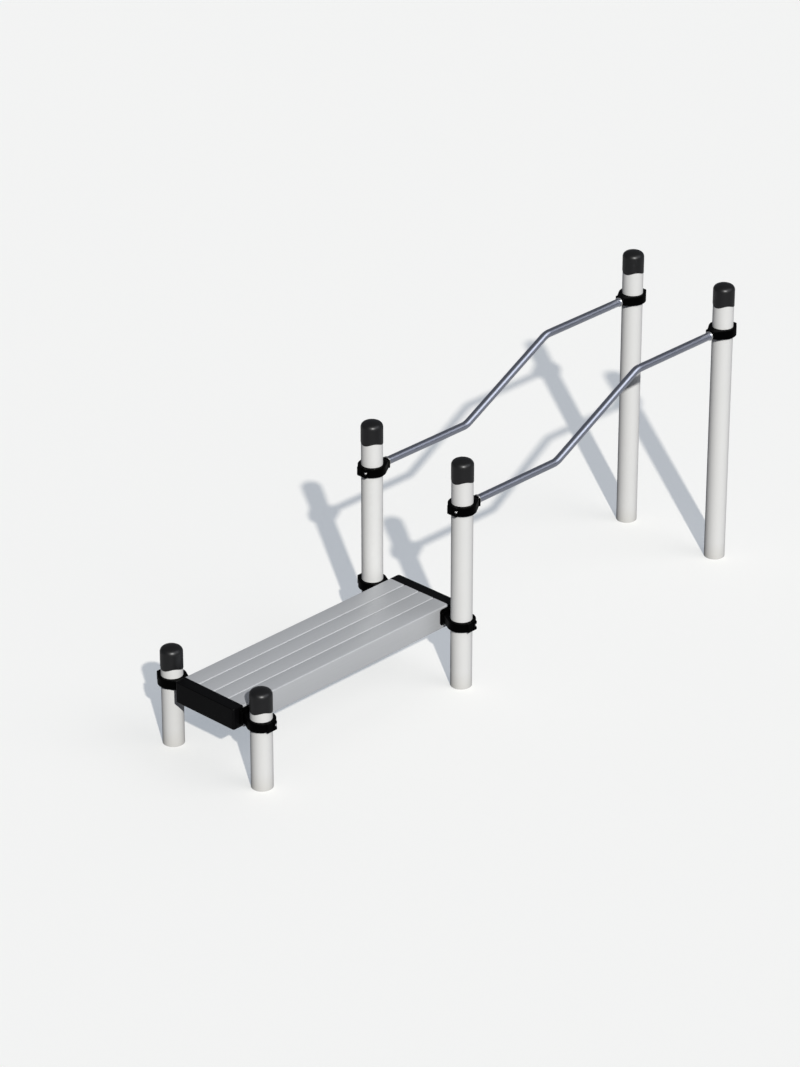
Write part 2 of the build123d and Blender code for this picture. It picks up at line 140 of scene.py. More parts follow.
sheet = bpy.data.meshes.new("floor")
corners = [(x * FLOOR_HALF, y * FLOOR_HALF, 0) for x, y in ((-1, -1), (1, -1), (1, 1), (-1, 1))]
sheet.from_pydata(corners, [], [(0, 1, 2, 3)])
sheet.materials.append(floor_paper)
floor = place("floor", sheet)

scene.world = bpy.data.worlds.new("studio_surround")
scene.world.use_nodes = True
tree = scene.world.node_tree
tree.nodes.clear()
where = add(tree, "ShaderNodeTexCoord").outputs["Generated"]
height = add(tree, "ShaderNodeSeparateXYZ", {0: where}).outputs["Z"]
surround = blend(tree, height, HORIZON_COLOUR, ZENITH_COLOUR)
seen, glossy = looked_at(tree, SURROUND_IN_GLOSS)
surround = blend(tree, seen, surround, BACKDROP_COLOUR)
light = add(tree, "ShaderNodeBackground", {"Color": surround, "Strength": 1.0})
unseen = maths(tree, "SUBTRACT", 1.0, seen)
matt = maths(tree, "MAXIMUM", maths(tree, "SUBTRACT", unseen, glossy), 0.0)
for direction, reach, strength, code, shown in (
    (TO_SOFT_BOX, SOFT_BOX_REACH, SOFT_BOX_STRENGTH, SOFT_BOX_COLOUR, unseen),
    (TO_REAR_FILL, REAR_FILL_REACH, REAR_FILL_STRENGTH, REAR_FILL_COLOUR, matt),
):
    facing = add(tree, "ShaderNodeVectorMath", {0: where, 1: direction}, operation="DOT_PRODUCT")
    box = add(tree, "ShaderNodeMapRange", {
        "Value": facing.outputs["Value"], "From Min": reach[0], "From Max": reach[1], "To Max": strength,
    }, interpolation_type="SMOOTHSTEP")
    box = maths(tree, "MULTIPLY", box.outputs[0], shown)
    box = add(tree, "ShaderNodeBackground", {"Color": colour(code), "Strength": box})
    light = add(tree, "ShaderNodeAddShader", {0: light.outputs[0], 1: box.outputs[0]})
add(tree, "ShaderNodeOutputWorld", {"Surface": light.outputs[0]})

lamp = bpy.data.lights.new("hard_lamp", "SUN")
lamp.color = colour(LAMP_COLOUR)[:3]
lamp.energy = LAMP_STRENGTH
lamp.angle = LAMP_SIZE
lamp = bpy.data.objects.new("hard_lamp", lamp)
scene.collection.objects.link(lamp)
lamp.rotation_euler = TO_LAMP.to_track_quat("Z", "Y").to_euler()

CAMERA_TARGET = Vector((-0.2829, 0.0864, 0.6612))
CAMERA_DISTANCE = 19.7246
CAMERA_AZIMUTH = math.radians(-46.11)
CAMERA_ELEVATION = math.radians(27.03)
CAMERA_LENS = 144.1
CAMERA_SENSOR = 36.0
CAMERA_REACH = 200.0
camera = bpy.data.objects.new("camera", bpy.data.cameras.new("camera"))
scene.collection.objects.link(camera)
scene.camera = camera
camera.data.lens = CAMERA_LENS
camera.data.sensor_width = CAMERA_SENSOR
camera.data.clip_end = CAMERA_REACH
to_camera = Vector((
    math.sin(CAMERA_AZIMUTH) * math.cos(CAMERA_ELEVATION),
    -math.cos(CAMERA_AZIMUTH) * math.cos(CAMERA_ELEVATION),
    math.sin(CAMERA_ELEVATION),
))
camera.location = CAMERA_TARGET + to_camera * CAMERA_DISTANCE
camera.rotation_euler = to_camera.to_track_quat("Z", "Y").to_euler()

# Posts
# Round structural steel tube, 101.6 mm across, galvanised and powder coated in a pale warm grey.
# The coat is satin and slightly pebbled, and each tube runs up inside its cap.
POST_RADIUS = 50.8 * MM
POST_WALL = 3.6 * MM
POST_EDGE = 0.8 * MM
POST_STEPS = 128
CREASE = math.radians(32)
COAT_COLOURS = ("#D5D5D3", "#DBDBD9")
COAT_CLOUD = 350 * MM
COAT_ROUGHNESS = (0.5, 0.6)
COAT_SPECULAR = 0.2
COAT_PEBBLE = 3.0 * MM
COAT_PEBBLE_HEIGHT = 0.03 * MM
COAT_PEBBLE_STRENGTH = 0.6
SPLASH_COLOUR = "#BDB9AF"
SPLASH_HEIGHT = 90 * MM
SPLASH_SHARE = 0.35


def outward_mesh(name, shape):
    """The mesh of a closed shape, with its faces turned outwards."""
    bmesh.ops.recalc_face_normals(shape, faces=shape.faces)
    mesh = bpy.data.meshes.new(name)
    shape.to_mesh(mesh)
    shape.free()
    return mesh


def lathe(name, profile):
    """A ring turned about Z from a closed profile of (radius, height) points."""
    shape = bmesh.new()
    rings = []
    for step in range(POST_STEPS):
        angle = 2 * math.pi * step / POST_STEPS
        rings.append([shape.verts.new((r * math.cos(angle), r * math.sin(angle), z)) for r, z in profile])
    for step in range(POST_STEPS):
        here, there = rings[step], rings[(step + 1) % POST_STEPS]
        for i in range(len(profile)):
            j = (i + 1) % len(profile)
            shape.faces.new((here[i], there[i], there[j], here[j]))
    return outward_mesh(name, shape)


def soften(mesh):
    """Smooth shading, with the edges that turn by more than a crease kept crisp."""
    shape = bmesh.new()
    shape.from_mesh(mesh)
    for face in shape.faces:
        face.smooth = True
    for edge in shape.edges:
        edge.smooth = len(edge.link_faces) == 2 and edge.calc_face_angle(0) < CREASE
    shape.to_mesh(mesh)
    shape.free()
    return mesh


def finish_piece(piece, material, slot, *nodes):
    """Gives a piece its finish and sets it on the body in place of its CAD nodes."""
    piece.data.materials.clear()
    piece.data.materials.append(material)
    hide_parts(*nodes)
    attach(piece, "root")


def new_finish(name):
    """A new material with a Principled shader: (material, tree, shader, object coordinates)."""
    made = bpy.data.materials.new(name)
    made.use_nodes = True
    made.node_tree.nodes.clear()
    shader = add(made.node_tree, "ShaderNodeBsdfPrincipled")
    add(made.node_tree, "ShaderNodeOutputMaterial", {"Surface": shader.outputs[0]})
    coordinates = add(made.node_tree, "ShaderNodeTexCoord").outputs["Object"]
    return made, made.node_tree, shader, coordinates


def noise(tree, spot, size, detail):
    """A soft random pattern from 0 to 1 whose spots are about this size."""
    made = add(tree, "ShaderNodeTexNoise", {"Vector": spot, "Scale": 1 / size, "Detail": detail})
    return made.outputs["Fac"]


def between(tree, factor, ends):
    """The number between two ends, by a factor from 0 to 1."""
    made = add(tree, "ShaderNodeMapRange", {"Value": factor, "To Min": ends[0], "To Max": ends[1]})
    return made.outputs[0]


def raised(tree, pattern, height, strength):
    """The normals of a surface that a pattern raises by this height."""
    made = add(tree, "ShaderNodeBump", {"Height": pattern, "Distance": height, "Strength": strength})
    return made.outputs[0]


# Powder coat on steel: an even pale grey, clouded a little, with a fine pebble that breaks up the
# light and a trace of splashed dust at the ground. The pebble is drawn 3 mm wide, coarser than the
# real 1 mm, so that it shows.
powder_coat, tree, shader, spot = new_finish("powder_coated_steel_pale_grey")
height = add(tree, "ShaderNodeSeparateXYZ", {0: spot}).outputs["Z"]
splash = add(tree, "ShaderNodeMapRange", {
    "Value": height, "From Min": 0.0, "From Max": SPLASH_HEIGHT, "To Min": SPLASH_SHARE, "To Max": 0.0,
}).outputs[0]
clouded = blend(tree, noise(tree, spot, COAT_CLOUD, detail=3.0), *COAT_COLOURS)
pebble = noise(tree, spot, COAT_PEBBLE, detail=2.0)
feed(tree, shader, {
    "Base Color": blend(tree, splash, clouded, SPLASH_COLOUR),
    "Roughness": between(tree, pebble, COAT_ROUGHNESS),
    "Specular IOR Level": COAT_SPECULAR,
    "Normal": raised(tree, pebble, COAT_PEBBLE_HEIGHT, COAT_PEBBLE_STRENGTH),
})

row_names = [f"{level}_{side}" for level in ("low", "mid", "high") for side in ("left", "right")]
post_axes = {}
for row_name in row_names:
    low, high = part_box(f"post_{row_name}")
    post_axes[row_name] = ((low + high) / 2).xy
    outer, inner = POST_RADIUS, POST_RADIUS - POST_WALL
    top = high.z
    profile = [
        (inner + POST_EDGE, 0), (outer - POST_EDGE, 0), (outer, POST_EDGE), (outer, top - POST_EDGE),
        (outer - POST_EDGE, top), (inner + POST_EDGE, top), (inner, top - POST_EDGE), (inner, POST_EDGE),
    ]
    tube = lathe(f"post_tube_{row_name}", profile)
    tube.transform(Matrix.Translation((*post_axes[row_name], 0)))
    finish_piece(place(f"post_tube_{row_name}", soften(tube)), powder_coat, "post_grey", f"post_{row_name}")

# Post caps
# Moulded black caps pushed over the post ends, with a domed crown, a round shoulder and a lower edge
# that waves three times round the post. A smooth plastic with a soft shine.
CAP_COLOURS = ("#101011", "#171718")
CAP_CLOUD = 60 * MM
CAP_ROUGHNESS = (0.37, 0.43)
CAP_SPECULAR = 0.5
CAP_GRAIN = 2.5 * MM
CAP_GRAIN_HEIGHT = 0.012 * MM
CAP_GRAIN_STRENGTH = 0.4
MERGE = 0.001 * MM
LARGE_FACES_LEAD = 100


def dressed(name, node, material, slot):
    """A merged, smoothly shaded copy of a CAD node that takes its place."""
    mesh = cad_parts[node].data.copy()
    shape = bmesh.new()
    shape.from_mesh(mesh)
    bmesh.ops.remove_doubles(shape, verts=shape.verts, dist=MERGE)
    shape.to_mesh(mesh)
    shape.free()
    while mesh.attributes.get("custom_normal"):
        mesh.attributes.remove(mesh.attributes["custom_normal"])
    piece = place(name, soften(mesh))
    weigh = piece.modifiers.new("even_shading", "WEIGHTED_NORMAL")
    weigh.keep_sharp = True
    weigh.weight = LARGE_FACES_LEAD
    finish_piece(piece, material, slot, node)


# Moulded nylon: near black, with a faint mould grain and a soft shine that shows the surroundings.
# The grain is drawn 2.5 mm wide, coarser than the real 0.5 mm, so that it shows.
cap_nylon, tree, shader, spot = new_finish("moulded_black_nylon")
grain = noise(tree, spot, CAP_GRAIN, detail=2.0)
feed(tree, shader, {
    "Base Color": blend(tree, noise(tree, spot, CAP_CLOUD, detail=4.0), *CAP_COLOURS),
    "Roughness": between(tree, grain, CAP_ROUGHNESS),
    "Specular IOR Level": CAP_SPECULAR,
    "Normal": raised(tree, grain, CAP_GRAIN_HEIGHT, CAP_GRAIN_STRENGTH),
})
for row_name in row_names:
    dressed(f"post_cap_{row_name}", f"cap_{row_name}", cap_nylon, "cap_black")

# Clamps
# Cast aluminium clamps that close round the posts: a split ring, a tapered neck and a flange for
# the grab bar or for the bench's side. Powder coated in a deep black, with a satin skin.
CLAMP_COLOUR = "#020202"
CLAMP_ROUGHNESS = (0.34, 0.46)
CLAMP_SPECULAR = 0.03
CAST_GRAIN = 3.5 * MM
CAST_GRAIN_HEIGHT = 0.05 * MM
CAST_GRAIN_STRENGTH = 0.5

# Powder coat on a casting: very dark, with the sand texture of the casting faintly under the coat.
# The texture is drawn 3.5 mm wide, coarser than the real 1 mm, so that it shows.
black_coat, tree, shader, spot = new_finish("powder_coated_casting_black")
grain = noise(tree, spot, CAST_GRAIN, detail=3.0)
feed(tree, shader, {
    "Base Color": colour(CLAMP_COLOUR),
    "Roughness": between(tree, grain, CLAMP_ROUGHNESS),
    "Specular IOR Level": CLAMP_SPECULAR,
    "Normal": raised(tree, grain, CAST_GRAIN_HEIGHT, CAST_GRAIN_STRENGTH),
})

bar_ends = [f"{level}_{side}" for level in ("mid", "high") for side in ("left", "right")]
bench_corners = [f"{level}_{side}" for level in ("low", "mid") for side in ("left", "right")]
for end in bar_ends:
    dressed(f"bar_clamp_casting_{end}", f"bar_clamp_{end}", black_coat, "clamp_black")
for end in bench_corners:
    dressed(f"bench_clamp_casting_{end}", f"bench_clamp_{end}", black_coat, "clamp_black")

# Clamp screws
# One M8 socket screw closes each clamp: stainless steel, cold headed and rolled. Its head sits in the
# lug's pocket with the hexagon open to the fitter's key, and its shank runs through the ring's slit.
CLAMP_SCREW = {"Diameter": 8 * MM, "Length": 40 * MM, "Head": 13 * MM, "Head Height": 8 * MM,
               "Hexagon": 6 * MM, "Hexagon Depth": 4 * MM, "Bevel": 0.7 * MM}
CLAMP_SCREW_INSET = -62.5 * MM
CLAMP_SCREW_SEAT = 16.0 * MM
SCREW_STEPS = 40
UNDERCUT = 0.01 * MM
SCREW_COLOURS = ("#E6E6E6", "#F2F2F1")
SCREW_ROUGHNESS = (0.46, 0.56)
SCREW_GRAIN = 1.2 * MM


def new_tree(name, lengths):
    """A geometry tree with inputs for points, lengths and a material: (tree, its inputs, its outputs)."""
    made = bpy.data.node_groups.new(name, "GeometryNodeTree")
    made.interface.new_socket(name="Geometry", in_out="INPUT", socket_type="NodeSocketGeometry")
    for length in lengths:
        made.interface.new_socket(name=length, in_out="INPUT", socket_type="NodeSocketFloat")
    made.interface.new_socket(name="Material", in_out="INPUT", socket_type="NodeSocketMaterial")
    made.interface.new_socket(name="Geometry", in_out="OUTPUT", socket_type="NodeSocketGeometry")
    return made, add(made, "NodeGroupInput").outputs, made.nodes.new("NodeGroupOutput").inputs


def stood_on_points(tree, part, points, material, result):
    """Ends a tree: the part on every point, turned to face the way that the point gives."""
    facing = add(tree, "GeometryNodeInputNamedAttribute", {"Name": "facing"}, data_type="FLOAT_VECTOR")
    turn = add(tree, "FunctionNodeAlignRotationToVector", {"Vector": facing.outputs["Attribute"]}, axis="Z")
    spread = add(tree, "GeometryNodeInstanceOnPoints", {
        "Points": points, "Instance": part, "Rotation": turn.outputs["Rotation"],
    })
    real = add(tree, "GeometryNodeRealizeInstances", {"Geometry": spread.outputs["Instances"]})
    done = add(tree, "GeometryNodeSetMaterial", {"Geometry": real.outputs[0], "Material": material})
    tree.links.new(done.outputs[0], result[0])


def facing_points(name, places):
    """A mesh of loose points, one for each (point, direction)."""
    mesh = bpy.data.meshes.new(name)
    mesh.from_pydata([point for point, direction in places], [], [])
    facing = mesh.attributes.new("facing", "FLOAT_VECTOR", "POINT")
    for entry, (point, direction) in zip(facing.data, places):
        entry.vector = direction
    return mesh


def grown(name, tree, base, values):
    """The plain mesh that a tree makes of a base mesh, with its inputs set by their names."""
    seed = place(name, base)
    growth = seed.modifiers.new(name, "NODES")
    growth.node_group = tree
    for item in tree.interface.items_tree:
        if item.in_out == "INPUT" and item.name in values:
            growth[item.identifier] = values[item.name]
    bpy.context.view_layer.update()
    evaluated = seed.evaluated_get(bpy.context.evaluated_depsgraph_get())
    mesh = bpy.data.meshes.new_from_object(evaluated)
    seed.modifiers.remove(growth)
    bpy.data.objects.remove(seed)
    return mesh


# One screw along Z, its head above the point and its shank below, turned from a profile of (height,
# radius). A hair of undercut below the head keeps two radii off one height.
screw_tree, given, result = new_tree("socket_screws", list(CLAMP_SCREW))
shank_radius = maths(screw_tree, "MULTIPLY", given["Diameter"], 0.5)
head_radius = maths(screw_tree, "MULTIPLY", given["Head"], 0.5)
tip_radius = maths(screw_tree, "SUBTRACT", shank_radius, given["Bevel"])
rim_radius = maths(screw_tree, "SUBTRACT", head_radius, given["Bevel"])
tip_z = maths(screw_tree, "MULTIPLY", given["Length"], -1.0)
shank_z = maths(screw_tree, "ADD", tip_z, given["Bevel"])
side_z = maths(screw_tree, "SUBTRACT", given["Head Height"], given["Bevel"])
turned_profile = (
    (tip_z, tip_radius), (shank_z, shank_radius), (-UNDERCUT, shank_radius),
    (0.0, head_radius), (side_z, head_radius), (given["Head Height"], rim_radius),
)
index = add(screw_tree, "GeometryNodeInputIndex").outputs[0]
by_index = []
for column in zip(*turned_profile):
    chosen = add(screw_tree, "GeometryNodeIndexSwitch", data_type="FLOAT")
    while len(chosen.index_switch_items) < len(column):
        chosen.index_switch_items.new()
    feed(screw_tree, chosen, {"Index": index} | {str(step): value for step, value in enumerate(column)})
    by_index.append(chosen.outputs[0])
heights, radii = by_index
axis_line = add(screw_tree, "GeometryNodeMeshLine", {"Count": len(turned_profile)})
height = add(screw_tree, "ShaderNodeCombineXYZ", {"Z": heights})
axis_line = add(screw_tree, "GeometryNodeSetPosition", {
    "Geometry": axis_line.outputs[0], "Position": height.outputs[0],
})
axis_line = add(screw_tree, "GeometryNodeMeshToCurve", {"Mesh": axis_line.outputs[0]})
circle = add(screw_tree, "GeometryNodeCurvePrimitiveCircle", {"Resolution": SCREW_STEPS, "Radius": 1.0})
blank = add(screw_tree, "GeometryNodeCurveToMesh", {
    "Curve": axis_line.outputs[0], "Profile Curve": circle.outputs[0], "Scale": radii, "Fill Caps": True,
})
# The key is measured across its flats, and stands half out of the head that it is cut from.
key = add(screw_tree, "GeometryNodeMeshCylinder", {
    "Vertices": 6,
    "Radius": maths(screw_tree, "MULTIPLY", given["Hexagon"], 1 / math.sqrt(3)),
    "Depth": maths(screw_tree, "MULTIPLY", given["Hexagon Depth"], 2.0),
})
height = add(screw_tree, "ShaderNodeCombineXYZ", {"Z": given["Head Height"]})
key = add(screw_tree, "GeometryNodeTransform", {
    "Geometry": key.outputs["Mesh"], "Translation": height.outputs[0],
})
one_screw = add(screw_tree, "GeometryNodeMeshBoolean", {
    "Mesh 1": blank.outputs[0], "Mesh 2": key.outputs[0],
}, operation="DIFFERENCE", solver="EXACT")
stood_on_points(screw_tree, one_screw.outputs["Mesh"], given["Geometry"], given["Material"], result)

# Stainless screw steel: bright, with a rolled grain that spreads its glints. The grain is drawn
# 1.2 mm wide, coarser than the real 0.2 mm, so that it shows.
screw_steel, tree, shader, spot = new_finish("rolled_stainless_screw_steel")
grain = noise(tree, spot, SCREW_GRAIN, detail=2.0)
feed(tree, shader, {
    "Base Color": blend(tree, grain, *SCREW_COLOURS),
    "Roughness": between(tree, grain, SCREW_ROUGHNESS),
    "Metallic": 1.0,
})


def stand_screws(name, node, places, lengths):
    """Socket screws of one size in place of a CAD node, one for each (seat, way its head faces)."""
    screws = grown(name, screw_tree, facing_points(f"{name}_points", places),
                   lengths | {"Material": screw_steel})
    finish_piece(place(name, soften(screws)), screw_steel, "screw_steel", node)


# Where each clamp sits, with X from its post to its flange, and the hand that it was cast in: the
# screw's head is on its -Y side for 1 and on its +Y side for -1.
bar_low, bar_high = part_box("bar_left")
bar_radius = (bar_high.y - bar_low.y) / 2
bar_heights = {"mid": bar_low.z + bar_radius, "high": bar_high.z - bar_radius}
clamp_frames, clamp_hands = {}, {}
for end in bar_ends:
    clamp_name, level = f"bar_clamp_{end}", end.split("_")[0]
    clamp_hands[clamp_name] = -1 if level == "high" else 1
    flip = Matrix.Rotation(math.pi if level == "high" else 0.0, 4, "Y")
    clamp_frames[clamp_name] = Matrix.Translation((*post_axes[end], bar_heights[level])) @ flip
for corner in bench_corners:
    clamp_name = f"bench_clamp_{corner}"
    low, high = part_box(clamp_name)
    clamp_hands[clamp_name] = -1 if corner.endswith("left") else 1
    turn = Matrix.Rotation(clamp_hands[clamp_name] * math.pi / 2, 4, "Z")
    clamp_frames[clamp_name] = Matrix.Translation((*post_axes[corner], (low.z + high.z) / 2)) @ turn
places = []
for clamp_name, turned in clamp_frames.items():
    hand = clamp_hands[clamp_name]
    places.append((turned @ Vector((CLAMP_SCREW_INSET, -hand * CLAMP_SCREW_SEAT, 0)),
                   turned.to_3x3() @ Vector((0, -hand, 0))))
stand_screws("clamp_closing_screws", "clamp_screws", places, CLAMP_SCREW)

# Grab bars
# Stainless steel tube, 38 mm across, brushed along its length and cold bent twice: level beside the
# middle posts, rising to the tall posts, then level again. Bolts draw both ends against the clamps.
BAR_RADIUS = 19.0 * MM
BAR_BEND = 90.0 * MM
BAR_END = 95.1 * MM
LOWER_RUN = 635.0 * MM
UPPER_RUN = 626.0 * MM
BAR_STEPS = 64
BEND_STEPS = 12
BRUSHED_COLOURS = ("#BDC2CF", "#C9CDDA")
BRUSHED_ROUGHNESS = (0.26, 0.36)
BRUSH_LENGTH = 60.0 * MM
BRUSH_WIDTH = 1.5 * MM
BRUSH_HEIGHT = 0.004 * MM
BRUSH_STRENGTH = 0.5

bar_tree, given, result = new_tree("bent_bars", ("Tube Radius", "Bend Radius"))
route = add(bar_tree, "GeometryNodeMeshToCurve", {"Mesh": given["Geometry"]})
route = add(bar_tree, "GeometryNodeFilletCurve", {
    "Curve": route.outputs[0], "Count": BEND_STEPS, "Radius": given["Bend Radius"],
}, mode="POLY")
section = add(bar_tree, "GeometryNodeCurvePrimitiveCircle", {
    "Resolution": BAR_STEPS, "Radius": given["Tube Radius"],
})
tube = add(bar_tree, "GeometryNodeCurveToMesh", {
    "Curve": route.outputs[0], "Profile Curve": section.outputs[0], "Fill Caps": True,
})
real = add(bar_tree, "GeometryNodeRealizeInstances", {"Geometry": tube.outputs[0]})
done = add(bar_tree, "GeometryNodeSetMaterial", {
    "Geometry": real.outputs[0], "Material": given["Material"],
})
bar_tree.links.new(done.outputs[0], result[0])


def streaks(tree, spot, length, width):
    """A noise drawn out along X into streaks of this length and width."""
    scale = (1 / length, 1 / width, 1 / width)
    stretched = add(tree, "ShaderNodeMapping", {"Vector": spot, "Scale": scale})
    return noise(tree, stretched.outputs[0], 1.0, detail=3.0)


# Brushed stainless steel: a bright metal whose lengthwise scratches soften what it mirrors into long
# streaks. The scratches are drawn 1.5 mm wide, coarser than the real 0.2 mm, so that they show.
brushed_steel, tree, shader, spot = new_finish("brushed_stainless_tube")
brush = streaks(tree, spot, BRUSH_LENGTH, BRUSH_WIDTH)
feed(tree, shader, {
    "Base Color": blend(tree, brush, *BRUSHED_COLOURS),
    "Roughness": between(tree, brush, BRUSHED_ROUGHNESS),
    "Metallic": 1.0,
    "Normal": raised(tree, brush, BRUSH_HEIGHT, BRUSH_STRENGTH),
})

for side in ("left", "right"):
    start = clamp_frames[f"bar_clamp_mid_{side}"].translation
    finish = clamp_frames[f"bar_clamp_high_{side}"].translation
    route = bpy.data.meshes.new(f"bar_route_{side}")
    route.from_pydata([
        start + Vector((BAR_END, 0, 0)),
        start + Vector((LOWER_RUN, 0, 0)),
        finish - Vector((UPPER_RUN, 0, 0)),
        finish - Vector((BAR_END, 0, 0)),
    ], [(0, 1), (1, 2), (2, 3)], [])
    bar = grown(f"grab_bar_{side}", bar_tree, route,
                {"Tube Radius": BAR_RADIUS, "Bend Radius": BAR_BEND, "Material": brushed_steel})
    finish_piece(place(f"grab_bar_{side}", soften(bar)), brushed_steel, "stainless", f"bar_{side}")

# Bar collars, plugs and bolts
# A polished stainless ring closes the joint between bar and clamp. Inside, a threaded disc welded in
# the bar's end takes an M10 socket bolt whose head is sunk in the clamp's bore before the post.
COLLAR_START = 95.0 * MM
COLLAR_WIDTH = 9.0 * MM
COLLAR_RADIUS = 23.0 * MM
COLLAR_BORE_RADIUS = 16.5 * MM
COLLAR_ROUND = 3.2 * MM
COLLAR_ROUND_STEPS = 5
COLLAR_STEPS = 64
POLISHED_COLOUR = "#E6E6E5"
POLISHED_ROUGHNESS = (0.3, 0.38)
POLISHED_HAZE = 4 * MM
BAR_BOLT = {"Diameter": 10 * MM, "Length": 50 * MM, "Head": 16 * MM, "Head Height": 6 * MM,
            "Hexagon": 7 * MM, "Hexagon Depth": 3.5 * MM, "Bevel": 0.8 * MM}
BAR_BOLT_SEAT = 59.5 * MM

collar_lengths = ("Outer Radius", "Inner Radius", "Width", "Round")
collar_tree, given, result = new_tree("polished_collars", collar_lengths)
radii_sum = maths(collar_tree, "ADD", given["Outer Radius"], given["Inner Radius"])
ring = add(collar_tree, "GeometryNodeCurvePrimitiveCircle", {
    "Resolution": COLLAR_STEPS, "Radius": maths(collar_tree, "MULTIPLY", radii_sum, 0.5),
})
band = add(collar_tree, "GeometryNodeCurvePrimitiveQuadrilateral", {
    "Width": maths(collar_tree, "SUBTRACT", given["Outer Radius"], given["Inner Radius"]),
    "Height": given["Width"],
})
band = add(collar_tree, "GeometryNodeFilletCurve", {
    "Curve": band.outputs[0], "Count": COLLAR_ROUND_STEPS, "Radius": given["Round"],
}, mode="POLY")
ring = add(collar_tree, "GeometryNodeCurveToMesh", {
    "Curve": ring.outputs[0], "Profile Curve": band.outputs[0],
})
stood_on_points(collar_tree, ring.outputs[0], given["Geometry"], given["Material"], result)

# Polished stainless steel, used out of doors: bright, with a haze that softens what it mirrors.
polished_steel, tree, shader, spot = new_finish("polished_stainless_steel")
feed(tree, shader, {
    "Base Color": colour(POLISHED_COLOUR),
    "Roughness": between(tree, noise(tree, spot, POLISHED_HAZE, detail=3.0), POLISHED_ROUGHNESS),
    "Metallic": 1.0,
})

bar_clamp_frames = [turned for clamp_name, turned in clamp_frames.items() if clamp_name.startswith("bar_")]
middle_of_collar = Vector((COLLAR_START + COLLAR_WIDTH / 2, 0, 0))
places = [(turned @ middle_of_collar, turned.to_3x3() @ Vector((1, 0, 0))) for turned in bar_clamp_frames]
collars = grown("polished_bar_collars", collar_tree, facing_points("collar_points", places),
                {"Outer Radius": COLLAR_RADIUS, "Inner Radius": COLLAR_BORE_RADIUS, "Width": COLLAR_WIDTH,
                 "Round": COLLAR_ROUND, "Material": polished_steel})
finish_piece(place("polished_bar_collars", soften(collars)), polished_steel, "stainless", "bar_collars")
seat = Vector((BAR_BOLT_SEAT, 0, 0))
places = [(turned @ seat, turned.to_3x3() @ Vector((-1, 0, 0))) for turned in bar_clamp_frames]
stand_screws("bar_socket_bolts", "bar_bolts", places, BAR_BOLT)
dressed("bar_end_plugs", "bar_plugs", screw_steel, "screw_steel")

# Bench planks
# Four hollow extruded aluminium planks, laid side by side along the bench and screwed down from
# below. The outer two carry a deep skirt with a small inward lip. Satin anodised, in a pale grey. Their
# top edges are rounder here than the solids' 4.5 mm, as wide as the lines between the real planks.
PLANK_WIDTH = 93.1 * MM
PLANK_PITCH = 93.5 * MM
PLANK_HEIGHT = 28.0 * MM
PLANK_WALL = 3.0 * MM
PLANK_ROUND = 6.5 * MM
PLANK_FOOT = 0.6 * MM
SKIRT_THICKNESS = 4.0 * MM
SKIRT_LIP = 14.0 * MM
ROUND_POINTS = 7
PLANK_COLOURS = ("#B9BBBD", "#C5C7C9")
PLANK_ROUGHNESS = (0.34, 0.44)
PLANK_METALLIC = 0.2
DRAWN_LENGTH = 220.0 * MM
DRAWN_WIDTH = 2.5 * MM
DRAWN_HEIGHT = 0.006 * MM
DRAWN_STRENGTH = 0.5


def rounded(corners):
    """An outline with its corners rounded, from (y, z, radius) corners in order."""
    line = []
    for i, (y, z, radius) in enumerate(corners):
        corner = Vector((y, z))
        if radius == 0:
            line.append(corner)
            continue
        before, after = Vector(corners[i - 1][:2]), Vector(corners[(i + 1) % len(corners)][:2])
        back, on = (before - corner).normalized(), (after - corner).normalized()
        centre = corner + (back + on) * radius
        for step in range(ROUND_POINTS):
            angle = math.pi / 2 * step / (ROUND_POINTS - 1)
            line.append(centre - on * radius * math.cos(angle) - back * radius * math.sin(angle))
    return line


def extruded(name, loops, start, finish):
    """A bar along X with a section of (y, z) loops, the first the outline and the others its cells."""
    shape = bmesh.new()
    rings = []
    for x in (start, finish):
        edges = []
        for loop in loops:
            corners = [shape.verts.new((x, y, z)) for y, z in loop]
            edges += [shape.edges.new((corners[i - 1], corners[i])) for i in range(len(corners))]
            rings.append(corners)
        bmesh.ops.triangle_fill(shape, use_beauty=True, edges=edges)
    for near, far in zip(rings[:len(loops)], rings[len(loops):]):
        for i in range(len(near)):
            shape.faces.new((near[i - 1], near[i], far[i], far[i - 1]))
    return outward_mesh(name, shape)


# Anodised aluminium: a cool satin grey that is part metal, with faint lengthwise lines from the
# extruding die. The lines are drawn 2.5 mm wide, coarser than the real 0.3 mm, so that they show.
anodised_plank, tree, shader, spot = new_finish("anodised_aluminium_satin_grey")
drawn = streaks(tree, spot, DRAWN_LENGTH, DRAWN_WIDTH)
feed(tree, shader, {
    "Base Color": blend(tree, drawn, *PLANK_COLOURS),
    "Roughness": between(tree, drawn, PLANK_ROUGHNESS),
    "Metallic": PLANK_METALLIC,
    "Normal": raised(tree, drawn, DRAWN_HEIGHT, DRAWN_STRENGTH),
})

